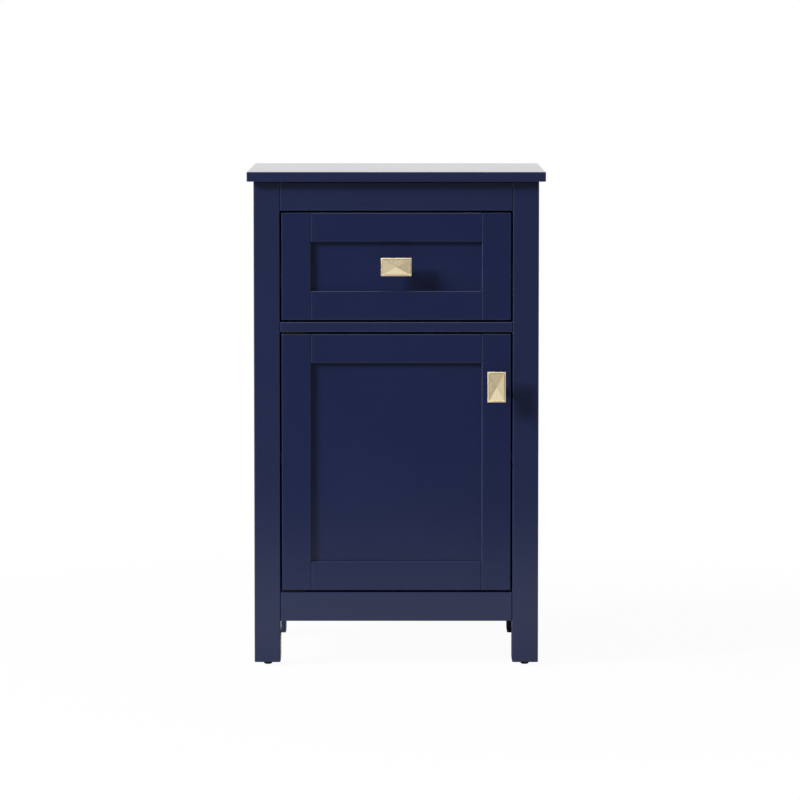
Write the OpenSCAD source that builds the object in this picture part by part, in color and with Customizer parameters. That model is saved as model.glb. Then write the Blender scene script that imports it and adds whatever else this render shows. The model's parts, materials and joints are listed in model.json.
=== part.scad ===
// Freestanding bathroom vanity cabinet: one drawer over one inset door, on four straight legs.
// Millimetres, +Z up. The front faces -Y, and the origin is on the floor under the middle of
// the whole object, knobs included. What repeats on the left is the right-hand piece mirrored.

/* [Overall] */
// Width of the top, side to side
top_w = 457; // [420:1:600]
// Depth of the top, front to back
top_d = 406; // [380:1:480]
// Height from the floor to the upper face of the top
total_h = 762; // [700:1:860]
// Thickness of the top
top_t = 15; // [12:1:25]
// Overhang of the top past each side
side_overhang = 10; // [0:1:20]
// Overhang of the top past the front
front_overhang = 12; // [4:1:20]
// Overhang of the top past the back
back_overhang = 8; // [0:1:20]

/* [Legs and rails] */
// Width of a leg, seen from the front
leg_w = 40; // [36:1:50]
// Depth of a leg, front to back
leg_d = 55; // [50:1:70]
// Height of the open space under the bottom rails
floor_gap = 70; // [50:1:120]
// Height of the bottom rails
bottom_rail_h = 45; // [40:1:60]
// Height of the rail between the door and the drawer
middle_rail_h = 16; // [14:1:24]
// Height of the top rails
top_rail_h = 45; // [36:1:60]
// Thickness of the upright rails
rail_t = 20; // [18:1:22]
// Length of the tenons that join the rails to the legs
tenon_l = 12; // [8:1:14]

/* [Panels and shelf] */
// Thickness of the side panels
side_panel_t = 9; // [6:1:9]
// Depth of the side panels behind the outer face of the legs
side_recess = 8; // [6:1:8]
// Thickness of the back panel
back_panel_t = 6; // [4:1:6]
// Depth of the grooves that hold the panels
groove_d = 5; // [4:1:6]
// Thickness of the cabinet's bottom
bottom_t = 12; // [9:1:18]
// Thickness of the shelf
shelf_t = 16; // [12:1:20]
// Height of the underside of the shelf above the floor
shelf_z = 312; // [280:1:340]
// Number of shelf pin holes in each leg
pin_rows = 5; // [3:2:7]

/* [Door and drawer] */
// Height of the drawer opening
drawer_opening_h = 170; // [165:1:200]
// Gap round the door and the drawer front
reveal = 2.5; // [2:0.5:3]
// Width of the frame members of the door and the drawer front
member_w = 45; // [40:1:50]
// Thickness of the frame members
member_t = 20; // [18:1:22]
// Depth of the flat panels behind the face of their frames
panel_recess = 6; // [6:1:8]
// Thickness of the door panel, and of the edge of the drawer front's panel
panel_t = 6; // [4:1:6]
// Height of the drawer box
drawer_box_h = 120; // [80:1:120]
// Thickness of the boards of the drawer box
drawer_board_t = 12; // [10:1:15]
// Number of dovetails at each corner of the drawer box
dovetails = 4; // [3:1:6]

/* [Knobs] */
// Long side of the knob head
knob_l = 47; // [40:1:56]
// Short side of the knob head
knob_w = 28; // [24:1:36]
// Height of a knob above the face it stands on
knob_h = 29; // [24:1:32]
// Distance of the door knob's middle below the top of the door
door_knob_drop = 80; // [40:1:200]

/* [Hardware] */
// Height of a foot glide below the leg
glide_h = 6; // [3:0.5:8]
// Distance of the hinge pins from the two outer faces of the door
pivot_inset = 4; // [3.8:0.1:4.2]
// Distance between the two wall fixing holes
wall_hole_spacing = 240; // [160:10:280]

/* [Hidden] */
$fn = 48;

PAINT = [0.13, 0.16, 0.29];
BIRCH = [0.80, 0.66, 0.46];
BRASS = [0.80, 0.72, 0.52];
STEEL = [0.66, 0.68, 0.70];
BRONZE = [0.20, 0.17, 0.14];
BLACK = [0.08, 0.08, 0.09];
LEFT = -1;
RIGHT = 1;

// Main planes of the cabinet
front_y = (knob_h + front_overhang - top_d) / 2;
back_y = front_y - front_overhang + top_d - back_overhang;
half_w = top_w / 2 - side_overhang;
inner_x = half_w - leg_w;
front_leg_back = front_y + leg_d;
rear_leg_front = back_y - leg_d;
under_top = total_h - top_t;
top_rail_z = under_top - top_rail_h;
drawer_opening_z = top_rail_z - drawer_opening_h;
middle_rail_z = drawer_opening_z - middle_rail_h;
floor_z = floor_gap + bottom_rail_h;
side_panel_x = half_w - side_recess;
rebate_wall = 3;
back_panel_y = back_y - rail_t + groove_d + rebate_wall;

// Cross rails as [front face, depth, underside, height], side rails as [underside, height]
FRONT_TOP = [front_y, rail_t, top_rail_z, top_rail_h];
FRONT_MIDDLE = [front_y, leg_d, middle_rail_z, middle_rail_h];
FRONT_BOTTOM = [front_y, rail_t, floor_gap, bottom_rail_h];
REAR_UPPER = [back_y - rail_t, rail_t, top_rail_z, top_rail_h];
REAR_LOWER = [back_y - rail_t, rail_t, floor_gap, bottom_rail_h];
SIDE_UPPER = [top_rail_z, top_rail_h];
SIDE_LOWER = [floor_gap, bottom_rail_h];

// Shelf and its pins
shelf_gap = 2;
shelf_bearing = 16.5;
shelf_front_y = front_leg_back - shelf_bearing;
shelf_back_y = back_panel_y - shelf_gap;
pin_r = 2.5;
pin_fit = 0.05;
pin_pitch = 32;
pin_depth = 8;
pin_collar_r = 4;
pin_collar_t = 1.8;
pin_setback = 8.5;
PIN_YS = [front_leg_back - pin_setback, rear_leg_front + pin_setback];

// Door, drawer front and drawer box; slides come in steps of 50 mm and set the box's length
front_half_w = inner_x - reveal;
window_half_w = front_half_w - member_w;
member_back = front_y + member_t;
panel_face = front_y + panel_recess;
panel_bite = 8;
panel_play = 0.5;
door_z = floor_z + reveal;
door_top = middle_rail_z - reveal;
drawer_z = drawer_opening_z + reveal;
drawer_top = top_rail_z - reveal;
slide_space = 12.7;
box_half_w = inner_x - slide_space;
box_inner_x = box_half_w - drawer_board_t;
box_lift = 14.5;
box_z = drawer_z + box_lift;
slide_y = member_back + 2;
slide_step = 50;
slide_l = floor((back_panel_y - slide_y) / slide_step) * slide_step;
box_shorter_than_slide = 10;
box_back = member_back + slide_l - box_shorter_than_slide;
box_bottom_t = 6;
box_bottom_lift = 10;
box_bottom_z = box_z + box_bottom_lift;
box_groove_d = 6;

// Dovetails: half width of a pin at its narrow and its wide end
dovetail_pitch = drawer_box_h / dovetails;
pin_narrow = dovetail_pitch * 0.15;
pin_wide = dovetail_pitch * 0.24;

// Drawer slides: three steel channels inside each other, with room for the balls
slide_lift = 52;
slide_z = box_z + slide_lift;
cleat_half_h = 30;
slide_steel_t = 1.2;
cabinet_member = [inner_x, inner_x - 9, 22.8];
middle_member = [inner_x - 3, inner_x - 10.2, 19.6];
drawer_member = [box_half_w, box_half_w + 7, 16.4];

// Knobs
knob_edge = 4;
knob_rim = 2.6;
pyramid_h = 5;
knob_stem_r = 6;
knob_flare_r = 9;
knob_flare_h = 3;
knob_base_r = 10;
knob_base_t = 2.5;
knob_bore_depth = 14;
knob_screw_r = 2;
door_knob_x = front_half_w - member_w / 2;
door_knob_z = door_top - door_knob_drop;
drawer_knob_z = (drawer_z + drawer_top) / 2;

// Hinges: two leaves and a pin at the top and at the bottom of the door's left edge
pivot_x = -front_half_w + pivot_inset;
pivot_y = front_y + pivot_inset;
hinge_pin_r = 1.5;
hinge_pin_fit = 0.05;
leaf_t = 3;
leaf_proud = 1;
leaf_nose_r = 3.4;
leaf_w = 12;
leaf_l = 32;
leaf_neck = 7;
leaf_screw_xs = [13, 26];
pin_end_gap = 0.2;
upper_frame_leaf_z = middle_rail_z - leaf_proud;
upper_door_leaf_z = door_top + leaf_proud - leaf_t;
lower_frame_leaf_z = floor_z + leaf_proud - leaf_t;
lower_door_leaf_z = door_z - leaf_proud;

// Magnetic catch under the middle rail, and its plate on the back of the door
catch_x = door_knob_x;
catch_plate_t = 1.5;
catch_gap = 0.3;
catch_y = member_back + catch_plate_t + catch_gap;
catch_body = [20, 14.7, 12];
catch_ear = [44, 11, 3];
catch_screw_x = 16;
plate_size = [25, 11];
plate_drop = 12;

// Screws as [shank radius, length, head radius, head height]
screw_fit = 0.05;
BLOCK_SCREW = [2, 29, 4, 2.4];
SLIDE_SCREW = [1.8, 11, 3.6, 1.2];
LEAF_SCREW = [1.4, 12, 2.8, 1.8];
CATCH_SCREW = [1.4, 13, 2.6, 1.5];
PLATE_SCREW = [1.4, 12, 2.6, 1.4];
BOX_SCREW = [2, 26, 4, 2.4];
KNOB_SCREW_HEAD = [4, 2.2];
knob_screw_short_of_bore = 4;
slide_screw_inset = 12;
box_screw_inset = 22;
corner_block = 34;
corner_block_h = 20;
block_screw_inset = 11;

// Foot glides under the middle of each leg
glide_r = 7.5;
glide_flat_r = 4;
nail_r = 1.2;
nail_l = 12;
LEG_YS = [front_y + leg_d / 2, back_y - leg_d / 2];

wall_hole_r = 2.5;
wall_hole_z = top_rail_z + top_rail_h / 2;
past = 1;

// ---- Helpers ----

// A box from its lowest to its highest corner.
module block(low, high) {
    translate(low) cube(high - low);
}

// Draws a right-hand piece on the side asked for.
module on_side(side) {
    mirror([side < 0 ? 1 : 0, 0, 0]) children();
}

// A screw that starts at z = 0 and drives along +Z, with its head flush in the surface.
module flat_screw(size, fit = 0) {
    translate([0, 0, -fit]) cylinder(h = size[3] + fit, r1 = size[2] + fit, r2 = size[0] + fit);
    cylinder(h = size[1] + fit, r = size[0] + fit);
}

// A screw that drives along +Z, with its head standing on the surface at z = 0.
module pan_screw(size, fit = 0) {
    translate([0, 0, -size[3]]) cylinder(h = size[3], r = size[2]);
    cylinder(h = size[1] + fit, r = size[0] + fit);
}

// ---- Shapes that meet more than one piece ----

module cross_tenon(rail) {
    block([-inner_x - tenon_l, rail[0] + groove_d, rail[2] + groove_d],
          [inner_x + tenon_l, rail[0] + rail[1] - groove_d, rail[2] + rail[3] - groove_d]);
}

module side_tenon(rail) {
    block([half_w - rail_t + groove_d, front_leg_back - tenon_l, rail[0] + groove_d],
          [half_w - groove_d, rear_leg_front + tenon_l, rail[0] + rail[1] - groove_d]);
}

module side_panel_shape() {
    block([side_panel_x - side_panel_t, front_leg_back - groove_d, floor_z - groove_d],
          [side_panel_x, rear_leg_front + groove_d, top_rail_z + groove_d]);
}

module back_panel_shape() {
    block([-inner_x - groove_d, back_panel_y, floor_z - groove_d],
          [inner_x + groove_d, back_panel_y + back_panel_t, top_rail_z + groove_d]);
}

// The bottom sits in rebates of the front and rear rails and is notched round the legs.
module bottom_shape() {
    bottom_z = floor_z - bottom_t;
    block([-inner_x, front_y + rail_t - groove_d, bottom_z],
          [inner_x, back_y - rail_t + groove_d, floor_z]);
    block([rail_t - half_w, front_leg_back, bottom_z], [half_w - rail_t, rear_leg_front, floor_z]);
}

module shelf_pin_holes() {
    rows = (pin_rows - 1) / 2;
    for (y = PIN_YS, row = [-rows : rows])
        translate([inner_x - past, y, shelf_z - pin_r + row * pin_pitch])
            rotate([0, 90, 0]) cylinder(h = pin_depth + past, r = pin_r + pin_fit);
}

module glide_nails(fit = 0) {
    for (y = LEG_YS)
        translate([inner_x + leg_w / 2, y, 0]) cylinder(h = glide_h + nail_l + fit, r = nail_r + fit);
}

// Screws that hold the cabinet's slide members to the legs and the cleats.
module cabinet_slide_screws(fit = 0) {
    ys = [slide_y + slide_screw_inset, slide_y + slide_l / 2, slide_y + slide_l - slide_screw_inset];
    for (y = ys)
        translate([inner_x - slide_steel_t, y, slide_z]) rotate([0, 90, 0]) pan_screw(SLIDE_SCREW, fit);
}

// Screws that hold the drawer's slide members to the sides of the box.
module drawer_slide_screws(fit = 0) {
    ys = [slide_y + 2 * slide_screw_inset, slide_y + slide_l / 2,
          box_back - drawer_board_t - slide_screw_inset];
    for (y = ys)
        translate([box_half_w + slide_steel_t, y, slide_z]) rotate([0, -90, 0]) pan_screw(SLIDE_SCREW, fit);
}

// Screws up through the corner blocks into the top.
module block_screws(fit = 0) {
    ys = [front_y + rail_t + block_screw_inset, back_y - rail_t - block_screw_inset];
    for (side = [LEFT, RIGHT], y = ys)
        translate([side * (inner_x - block_screw_inset), y, under_top - corner_block_h])
            flat_screw(BLOCK_SCREW, fit);
}

module leaf_screws(z, down, fit = 0) {
    for (x = leaf_screw_xs)
        translate([pivot_x + x, pivot_y + leaf_w / 2 - leaf_nose_r, z])
            rotate([down ? 180 : 0, 0, 0]) flat_screw(LEAF_SCREW, fit);
}

module catch_screws(fit = 0) {
    for (x = [-catch_screw_x, catch_screw_x])
        translate([catch_x + x, catch_y + catch_ear[1] / 2, middle_rail_z - catch_ear[2]])
            pan_screw(CATCH_SCREW, fit);
}

module plate_screw(fit = 0) {
    translate([catch_x, member_back + catch_plate_t, door_top - plate_drop + plate_size[1] / 2])
        rotate([90, 0, 0]) flat_screw(PLATE_SCREW, fit);
}

// Screws from inside the drawer through the box front into the stiles of the drawer front.
module drawer_front_screws(fit = 0) {
    zs = [box_z + box_screw_inset, box_z + drawer_box_h - box_screw_inset];
    for (side = [LEFT, RIGHT], z = zs)
        translate([side * (window_half_w + member_w / 3), member_back + drawer_board_t, z])
            rotate([90, 0, 0]) flat_screw(BOX_SCREW, fit);
}

// A machine screw from the back of a front, at face_y + thickness, into the bore of its knob.
module knob_screw(x, z, face_y, thickness, fit = 0) {
    reach = thickness + knob_bore_depth - knob_screw_short_of_bore;
    translate([x, face_y + thickness, z]) rotate([90, 0, 0])
        pan_screw([knob_screw_r, reach, KNOB_SCREW_HEAD[0], KNOB_SCREW_HEAD[1]], fit);
}

module door_knob_screw_shape(fit = 0) {
    knob_screw(door_knob_x, door_knob_z, front_y, member_t, fit);
}

module drawer_knob_screw_shape(fit = 0) {
    knob_screw(0, drawer_knob_z, panel_face, member_t - panel_recess + drawer_board_t, fit);
}

// ---- Cabinet frame ----

module leg(side, y) {
    color(PAINT) on_side(side) difference() {
        block([inner_x, y, glide_h], [half_w, y + leg_d, under_top]);
        for (rail = [FRONT_TOP, FRONT_MIDDLE, FRONT_BOTTOM, REAR_UPPER, REAR_LOWER]) cross_tenon(rail);
        for (rail = [SIDE_UPPER, SIDE_LOWER]) side_tenon(rail);
        side_panel_shape();
        back_panel_shape();
        shelf_pin_holes();
        glide_nails(screw_fit);
        cabinet_slide_screws(screw_fit);
    }
}

module cross_rail(rail) {
    color(PAINT) difference() {
        union() {
            block([-inner_x, rail[0], rail[2]], [inner_x, rail[0] + rail[1], rail[2] + rail[3]]);
            cross_tenon(rail);
        }
        children();
    }
}

module side_rail(side, rail) {
    color(PAINT) on_side(side) difference() {
        union() {
            block([half_w - rail_t, front_leg_back, rail[0]], [half_w, rear_leg_front, rail[0] + rail[1]]);
            side_tenon(rail);
        }
        side_panel_shape();
    }
}

module top_panel() {
    top_front = front_y - front_overhang;
    color(PAINT) difference() {
        block([-top_w / 2, top_front, under_top], [top_w / 2, top_front + top_d, total_h]);
        block_screws(screw_fit);
    }
}

module front_left_leg() { leg(LEFT, front_y); }
module front_right_leg() { leg(RIGHT, front_y); }
module rear_left_leg() { leg(LEFT, rear_leg_front); }
module rear_right_leg() { leg(RIGHT, rear_leg_front); }

module front_top_rail() { cross_rail(FRONT_TOP); }

module front_middle_rail() {
    cross_rail(FRONT_MIDDLE) {
        leaf(upper_frame_leaf_z);
        leaf_screws(upper_frame_leaf_z, false, screw_fit);
        catch_screws(screw_fit);
    }
}

module front_bottom_rail() {
    cross_rail(FRONT_BOTTOM) {
        bottom_shape();
        leaf(lower_frame_leaf_z);
        leaf_screws(lower_frame_leaf_z + leaf_t, true, screw_fit);
    }
}

module rear_upper_rail() {
    cross_rail(REAR_UPPER) {
        back_panel_shape();
        for (side = [LEFT, RIGHT])
            translate([side * wall_hole_spacing / 2, back_y + past, wall_hole_z])
                rotate([90, 0, 0]) cylinder(h = rail_t + 2 * past, r = wall_hole_r);
    }
}

module rear_lower_rail() {
    cross_rail(REAR_LOWER) {
        back_panel_shape();
        bottom_shape();
    }
}

module left_upper_side_rail() { side_rail(LEFT, SIDE_UPPER); }
module left_lower_side_rail() { side_rail(LEFT, SIDE_LOWER); }
module right_upper_side_rail() { side_rail(RIGHT, SIDE_UPPER); }
module right_lower_side_rail() { side_rail(RIGHT, SIDE_LOWER); }

module left_side_panel() { color(PAINT) on_side(LEFT) side_panel_shape(); }
module right_side_panel() { color(PAINT) on_side(RIGHT) side_panel_shape(); }
module back_panel() { color(BIRCH) back_panel_shape(); }
module bottom_panel() { color(BIRCH) bottom_shape(); }

// A cleat fills the hollow beside a side panel, so that the slide has wood behind its middle.
module slide_cleat(side) {
    color(BIRCH) on_side(side) difference() {
        block([inner_x, front_leg_back, slide_z - cleat_half_h],
              [side_panel_x - side_panel_t, rear_leg_front, slide_z + cleat_half_h]);
        cabinet_slide_screws(screw_fit);
    }
}

module left_slide_cleat() { slide_cleat(LEFT); }
module right_slide_cleat() { slide_cleat(RIGHT); }

module shelf() {
    narrow = inner_x - shelf_gap;
    wide = side_panel_x - side_panel_t - shelf_gap;
    color(BIRCH) {
        block([-narrow, shelf_front_y, shelf_z], [narrow, shelf_back_y, shelf_z + shelf_t]);
        block([-wide, front_leg_back + shelf_gap, shelf_z],
              [wide, rear_leg_front - shelf_gap, shelf_z + shelf_t]);
    }
}

module shelf_pins() {
    color(STEEL) for (side = [LEFT, RIGHT], y = PIN_YS)
        on_side(side) translate([inner_x, y, shelf_z - pin_r]) rotate([0, 90, 0]) {
            translate([0, 0, -pin_depth]) cylinder(h = 2 * pin_depth - pin_fit, r = pin_r);
            translate([0, 0, -pin_collar_t]) cylinder(h = pin_collar_t, r = pin_collar_r);
        }
}

module corner_blocks() {
    corners = [[front_y + rail_t, 1], [back_y - rail_t, -1]];
    color(BIRCH) difference() {
        for (side = [LEFT, RIGHT], corner = corners)
            translate([side * inner_x, corner[0], under_top - corner_block_h])
                linear_extrude(corner_block_h)
                    polygon([[0, 0], [-side * corner_block, 0], [0, corner[1] * corner_block]]);
        block_screws(screw_fit);
    }
}

// A domed plastic disc nailed under each leg; its flat stands on the floor.
module foot_glides() {
    profile = [[0, 0], [glide_flat_r, 0], for (a = [15 : 15 : 75])
        [glide_flat_r + (glide_r - glide_flat_r) * sin(a), glide_h * (1 - cos(a))],
        [glide_r, glide_h], [0, glide_h]];
    color(BLACK) for (side = [LEFT, RIGHT]) on_side(side) {
        for (y = LEG_YS)
            translate([inner_x + leg_w / 2, y, 0]) rotate_extrude() polygon(profile);
        intersection() {
            glide_nails();
            block([inner_x, front_y, glide_h / 2], [half_w, back_y, glide_h + nail_l + past]);
        }
    }
}

module cabinet_screws() {
    color(STEEL) {
        block_screws();
        for (side = [LEFT, RIGHT]) on_side(side) cabinet_slide_screws();
        leaf_screws(upper_frame_leaf_z, false);
        leaf_screws(lower_frame_leaf_z + leaf_t, true);
        catch_screws();
    }
}

// ---- Drawer slides ----

// A steel channel of a slide as [web's outer face, flange tips, half height].
module channel(size) {
    inward = size[1] > size[0] ? slide_steel_t : -slide_steel_t;
    low = min(size[0], size[1]);
    high = max(size[0], size[1]);
    color(STEEL) difference() {
        block([low, slide_y, slide_z - size[2]], [high, slide_y + slide_l, slide_z + size[2]]);
        block([low + inward, slide_y - past, slide_z - size[2] + slide_steel_t],
              [high + inward, slide_y + slide_l + past, slide_z + size[2] - slide_steel_t]);
        children();
    }
}

module left_slide_cabinet_member() {
    on_side(LEFT) channel(cabinet_member) cabinet_slide_screws(screw_fit);
}

module right_slide_cabinet_member() {
    on_side(RIGHT) channel(cabinet_member) cabinet_slide_screws(screw_fit);
}

module left_slide_middle_member() { on_side(LEFT) channel(middle_member); }
module right_slide_middle_member() { on_side(RIGHT) channel(middle_member); }

module left_slide_drawer_member() {
    on_side(LEFT) channel(drawer_member) drawer_slide_screws(screw_fit);
}

module right_slide_drawer_member() {
    on_side(RIGHT) channel(drawer_member) drawer_slide_screws(screw_fit);
}

// ---- Hinges and catch ----

module leaf(z) {
    translate([pivot_x, pivot_y, z]) linear_extrude(leaf_t) {
        circle(r = leaf_nose_r);
        translate([0, -leaf_nose_r]) square([leaf_l, 2 * leaf_nose_r]);
        translate([leaf_neck, -leaf_nose_r]) square([leaf_l - leaf_neck, leaf_w]);
    }
}

module hinge_leaf(z, bore_r, down) {
    color(BRONZE) difference() {
        leaf(z);
        translate([pivot_x, pivot_y, z - past]) cylinder(h = leaf_t + 2 * past, r = bore_r);
        leaf_screws(down ? z + leaf_t : z, down, screw_fit);
    }
}

module upper_hinge_frame_leaf() { hinge_leaf(upper_frame_leaf_z, hinge_pin_r, false); }
module lower_hinge_frame_leaf() { hinge_leaf(lower_frame_leaf_z, hinge_pin_r, true); }
module upper_hinge_door_leaf() {
    hinge_leaf(upper_door_leaf_z, hinge_pin_r + hinge_pin_fit, true);
}
module lower_hinge_door_leaf() {
    hinge_leaf(lower_door_leaf_z, hinge_pin_r + hinge_pin_fit, false);
}

// The pins are fixed in the frame leaves and turn in the door leaves.
module hinge_pins() {
    upper_end = upper_door_leaf_z + pin_end_gap;
    lower_end = lower_door_leaf_z + leaf_t - pin_end_gap;
    color(BRONZE) {
        translate([pivot_x, pivot_y, upper_end])
            cylinder(h = upper_frame_leaf_z + leaf_t - upper_end, r = hinge_pin_r);
        translate([pivot_x, pivot_y, lower_frame_leaf_z])
            cylinder(h = lower_end - lower_frame_leaf_z, r = hinge_pin_r);
    }
}

module magnetic_catch() {
    color(BLACK) translate([catch_x, catch_y, middle_rail_z]) difference() {
        union() {
            block([-catch_body[0] / 2, 0, -catch_body[2]], [catch_body[0] / 2, catch_body[1], 0]);
            block([-catch_ear[0] / 2, 0, -catch_ear[2]], [catch_ear[0] / 2, catch_ear[1], 0]);
        }
        translate([-catch_x, -catch_y, -middle_rail_z]) catch_screws(screw_fit);
    }
}

module catch_plate() {
    plate_z = door_top - plate_drop;
    color(STEEL) difference() {
        block([catch_x - plate_size[0] / 2, member_back, plate_z],
              [catch_x + plate_size[0] / 2, member_back + catch_plate_t, plate_z + plate_size[1]]);
        plate_screw(screw_fit);
    }
}

// ---- Framed fronts: the door and the drawer front are made the same way ----

// The right-hand stile between heights z0 and z1, grooved along its inner edge.
module stile(side, z0, z1) {
    color(PAINT) difference() {
        on_side(side) difference() {
            block([window_half_w, front_y, z0], [front_half_w, member_back, z1]);
            block([window_half_w - past, panel_face, z0 - past],
                  [window_half_w + panel_bite, panel_face + panel_t, z1 + past]);
        }
        children();
    }
}

// A rail with its lower edge at z, a tongue at each end, and the panel groove at its top or bottom.
module front_rail(z, groove_on_top) {
    tongue_z = groove_on_top ? z : z + panel_bite;
    groove_z = groove_on_top ? z + member_w - panel_bite : z - past;
    color(PAINT) {
        difference() {
            block([-window_half_w, front_y, z], [window_half_w, member_back, z + member_w]);
            block([-window_half_w - past, panel_face, groove_z],
                  [window_half_w + past, panel_face + panel_t, groove_z + panel_bite + past]);
        }
        block([-window_half_w - panel_bite, panel_face, tongue_z],
              [window_half_w + panel_bite, panel_face + panel_t, tongue_z + member_w - panel_bite]);
    }
}

module front_panel(z0, z1) {
    bite = panel_bite - panel_play;
    color(PAINT)
        block([-window_half_w - bite, panel_face, z0 + member_w - bite],
              [window_half_w + bite, panel_face + panel_t, z1 - member_w + bite]);
}

// A knob on a face at face_y. Its head is a flat pyramid inside a narrow rim.
module knob(x, z, face_y, upright) {
    head_z = knob_h - pyramid_h - knob_edge;
    head = upright ? [knob_w, knob_l] : [knob_l, knob_w];
    rim = [head[0] - 2 * knob_rim, head[1] - 2 * knob_rim];
    color(BRASS) translate([x, face_y, z]) rotate([90, 0, 0]) difference() {
        union() {
            cylinder(h = knob_base_t, r = knob_base_r);
            cylinder(h = head_z, r = knob_stem_r);
            translate([0, 0, head_z - knob_flare_h])
                cylinder(h = knob_flare_h, r1 = knob_stem_r, r2 = knob_flare_r);
            block([-head[0] / 2, -head[1] / 2, head_z], [head[0] / 2, head[1] / 2, head_z + knob_edge]);
            translate([0, 0, head_z + knob_edge]) pyramid(rim[0], rim[1], pyramid_h);
        }
        translate([0, 0, -past]) cylinder(h = knob_bore_depth + past, r = knob_screw_r + screw_fit);
    }
}

// A pyramid with a rectangular foot is what two ridged roofs at right angles have in common.
module pyramid(length, width, height) {
    intersection() {
        roof(length, width, height);
        rotate([0, 0, 90]) roof(width, length, height);
    }
}

module roof(span, length, height) {
    rotate([90, 0, 0]) linear_extrude(length, center = true)
        polygon([[-span / 2, 0], [span / 2, 0], [0, height]]);
}

// ---- Door ----

module door_left_stile() {
    stile(LEFT, door_z, door_top) {
        leaf(upper_door_leaf_z);
        leaf(lower_door_leaf_z);
        leaf_screws(upper_door_leaf_z + leaf_t, true, screw_fit);
        leaf_screws(lower_door_leaf_z, false, screw_fit);
    }
}

module door_right_stile() {
    stile(RIGHT, door_z, door_top) {
        door_knob_screw_shape(screw_fit);
        plate_screw(screw_fit);
    }
}

module door_top_rail() { front_rail(door_top - member_w, false); }
module door_bottom_rail() { front_rail(door_z, true); }
module door_panel() { front_panel(door_z, door_top); }
module door_knob() { knob(door_knob_x, door_knob_z, front_y, true); }
module door_knob_screw() { color(STEEL) door_knob_screw_shape(); }

module door_screws() {
    color(STEEL) {
        leaf_screws(upper_door_leaf_z + leaf_t, true);
        leaf_screws(lower_door_leaf_z, false);
        plate_screw();
    }
}

// ---- Drawer ----

module drawer_front_left_stile() {
    stile(LEFT, drawer_z, drawer_top) drawer_front_screws(screw_fit);
}

module drawer_front_right_stile() {
    stile(RIGHT, drawer_z, drawer_top) drawer_front_screws(screw_fit);
}

module drawer_front_top_rail() { front_rail(drawer_top - member_w, false); }
module drawer_front_bottom_rail() { front_rail(drawer_z, true); }

// The panel is thicker inside its frame, so that the box front backs the knob.
module drawer_front_panel() {
    difference() {
        union() {
            front_panel(drawer_z, drawer_top);
            color(PAINT) block([-window_half_w, panel_face, drawer_z + member_w],
                               [window_half_w, member_back, drawer_top - member_w]);
        }
        drawer_knob_screw_shape(screw_fit);
    }
}

// The dovetail pins at one end of the right-hand side, widening away from the board's end.
module corner_pins(end_y, inward) {
    root_y = end_y + inward * drawer_board_t;
    intersection() {
        block([box_inner_x, min(end_y, root_y), box_z],
              [box_half_w, max(end_y, root_y), box_z + drawer_box_h]);
        for (i = [0 : dovetails])
            translate([box_inner_x, 0, box_z + i * dovetail_pitch])
                rotate([90, 0, 90]) linear_extrude(drawer_board_t)
                    polygon([[end_y, -pin_narrow], [end_y, pin_narrow],
                             [root_y, pin_wide], [root_y, -pin_wide]]);
    }
}

module drawer_bottom_shape() {
    block([-box_inner_x - box_groove_d, member_back + drawer_board_t - box_groove_d, box_bottom_z],
          [box_inner_x + box_groove_d, box_back - drawer_board_t + box_groove_d,
           box_bottom_z + box_bottom_t]);
}

module drawer_side(side) {
    color(BIRCH) on_side(side) difference() {
        block([box_inner_x, member_back, box_z], [box_half_w, box_back, box_z + drawer_box_h]);
        corner_pins(member_back, 1);
        corner_pins(box_back, -1);
        drawer_bottom_shape();
        drawer_slide_screws(screw_fit);
    }
}

module box_end(end_y, inward) {
    low = min(end_y, end_y + inward * drawer_board_t);
    color(BIRCH) difference() {
        union() {
            block([-box_inner_x, low, box_z], [box_inner_x, low + drawer_board_t, box_z + drawer_box_h]);
            for (side = [LEFT, RIGHT]) on_side(side) corner_pins(end_y, inward);
        }
        drawer_bottom_shape();
        children();
    }
}

module drawer_left_side() { drawer_side(LEFT); }
module drawer_right_side() { drawer_side(RIGHT); }

module drawer_box_front() {
    box_end(member_back, 1) {
        drawer_front_screws(screw_fit);
        drawer_knob_screw_shape(screw_fit);
    }
}

module drawer_box_back() { box_end(box_back, -1); }
module drawer_bottom() { color(BIRCH) drawer_bottom_shape(); }
module drawer_knob() { knob(0, drawer_knob_z, panel_face, false); }
module drawer_knob_screw() { color(STEEL) drawer_knob_screw_shape(); }

module drawer_screws() {
    color(STEEL) {
        drawer_front_screws();
        for (side = [LEFT, RIGHT]) on_side(side) drawer_slide_screws();
    }
}

top_panel();
front_left_leg();
front_right_leg();
rear_left_leg();
rear_right_leg();
front_top_rail();
front_middle_rail();
front_bottom_rail();
left_upper_side_rail();
left_lower_side_rail();
right_upper_side_rail();
right_lower_side_rail();
left_side_panel();
right_side_panel();
rear_upper_rail();
rear_lower_rail();
back_panel();
bottom_panel();
left_slide_cleat();
right_slide_cleat();
shelf();
shelf_pins();
corner_blocks();
foot_glides();
cabinet_screws();
left_slide_cabinet_member();
right_slide_cabinet_member();
upper_hinge_frame_leaf();
lower_hinge_frame_leaf();
hinge_pins();
magnetic_catch();
left_slide_middle_member();
right_slide_middle_member();
door_left_stile();
door_right_stile();
door_top_rail();
door_bottom_rail();
door_panel();
door_knob();
door_knob_screw();
upper_hinge_door_leaf();
lower_hinge_door_leaf();
catch_plate();
door_screws();
drawer_front_left_stile();
drawer_front_right_stile();
drawer_front_top_rail();
drawer_front_bottom_rail();
drawer_front_panel();
drawer_left_side();
drawer_right_side();
drawer_box_front();
drawer_box_back();
drawer_bottom();
drawer_knob();
drawer_knob_screw();
left_slide_drawer_member();
right_slide_drawer_member();
drawer_screws();
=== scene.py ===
"""A navy vanity cabinet with one drawer over one door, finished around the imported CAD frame.

Lengths are in metres in the frame's own axes: X to the right, Y to the back, Z up.
"""
import json
import math

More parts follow.
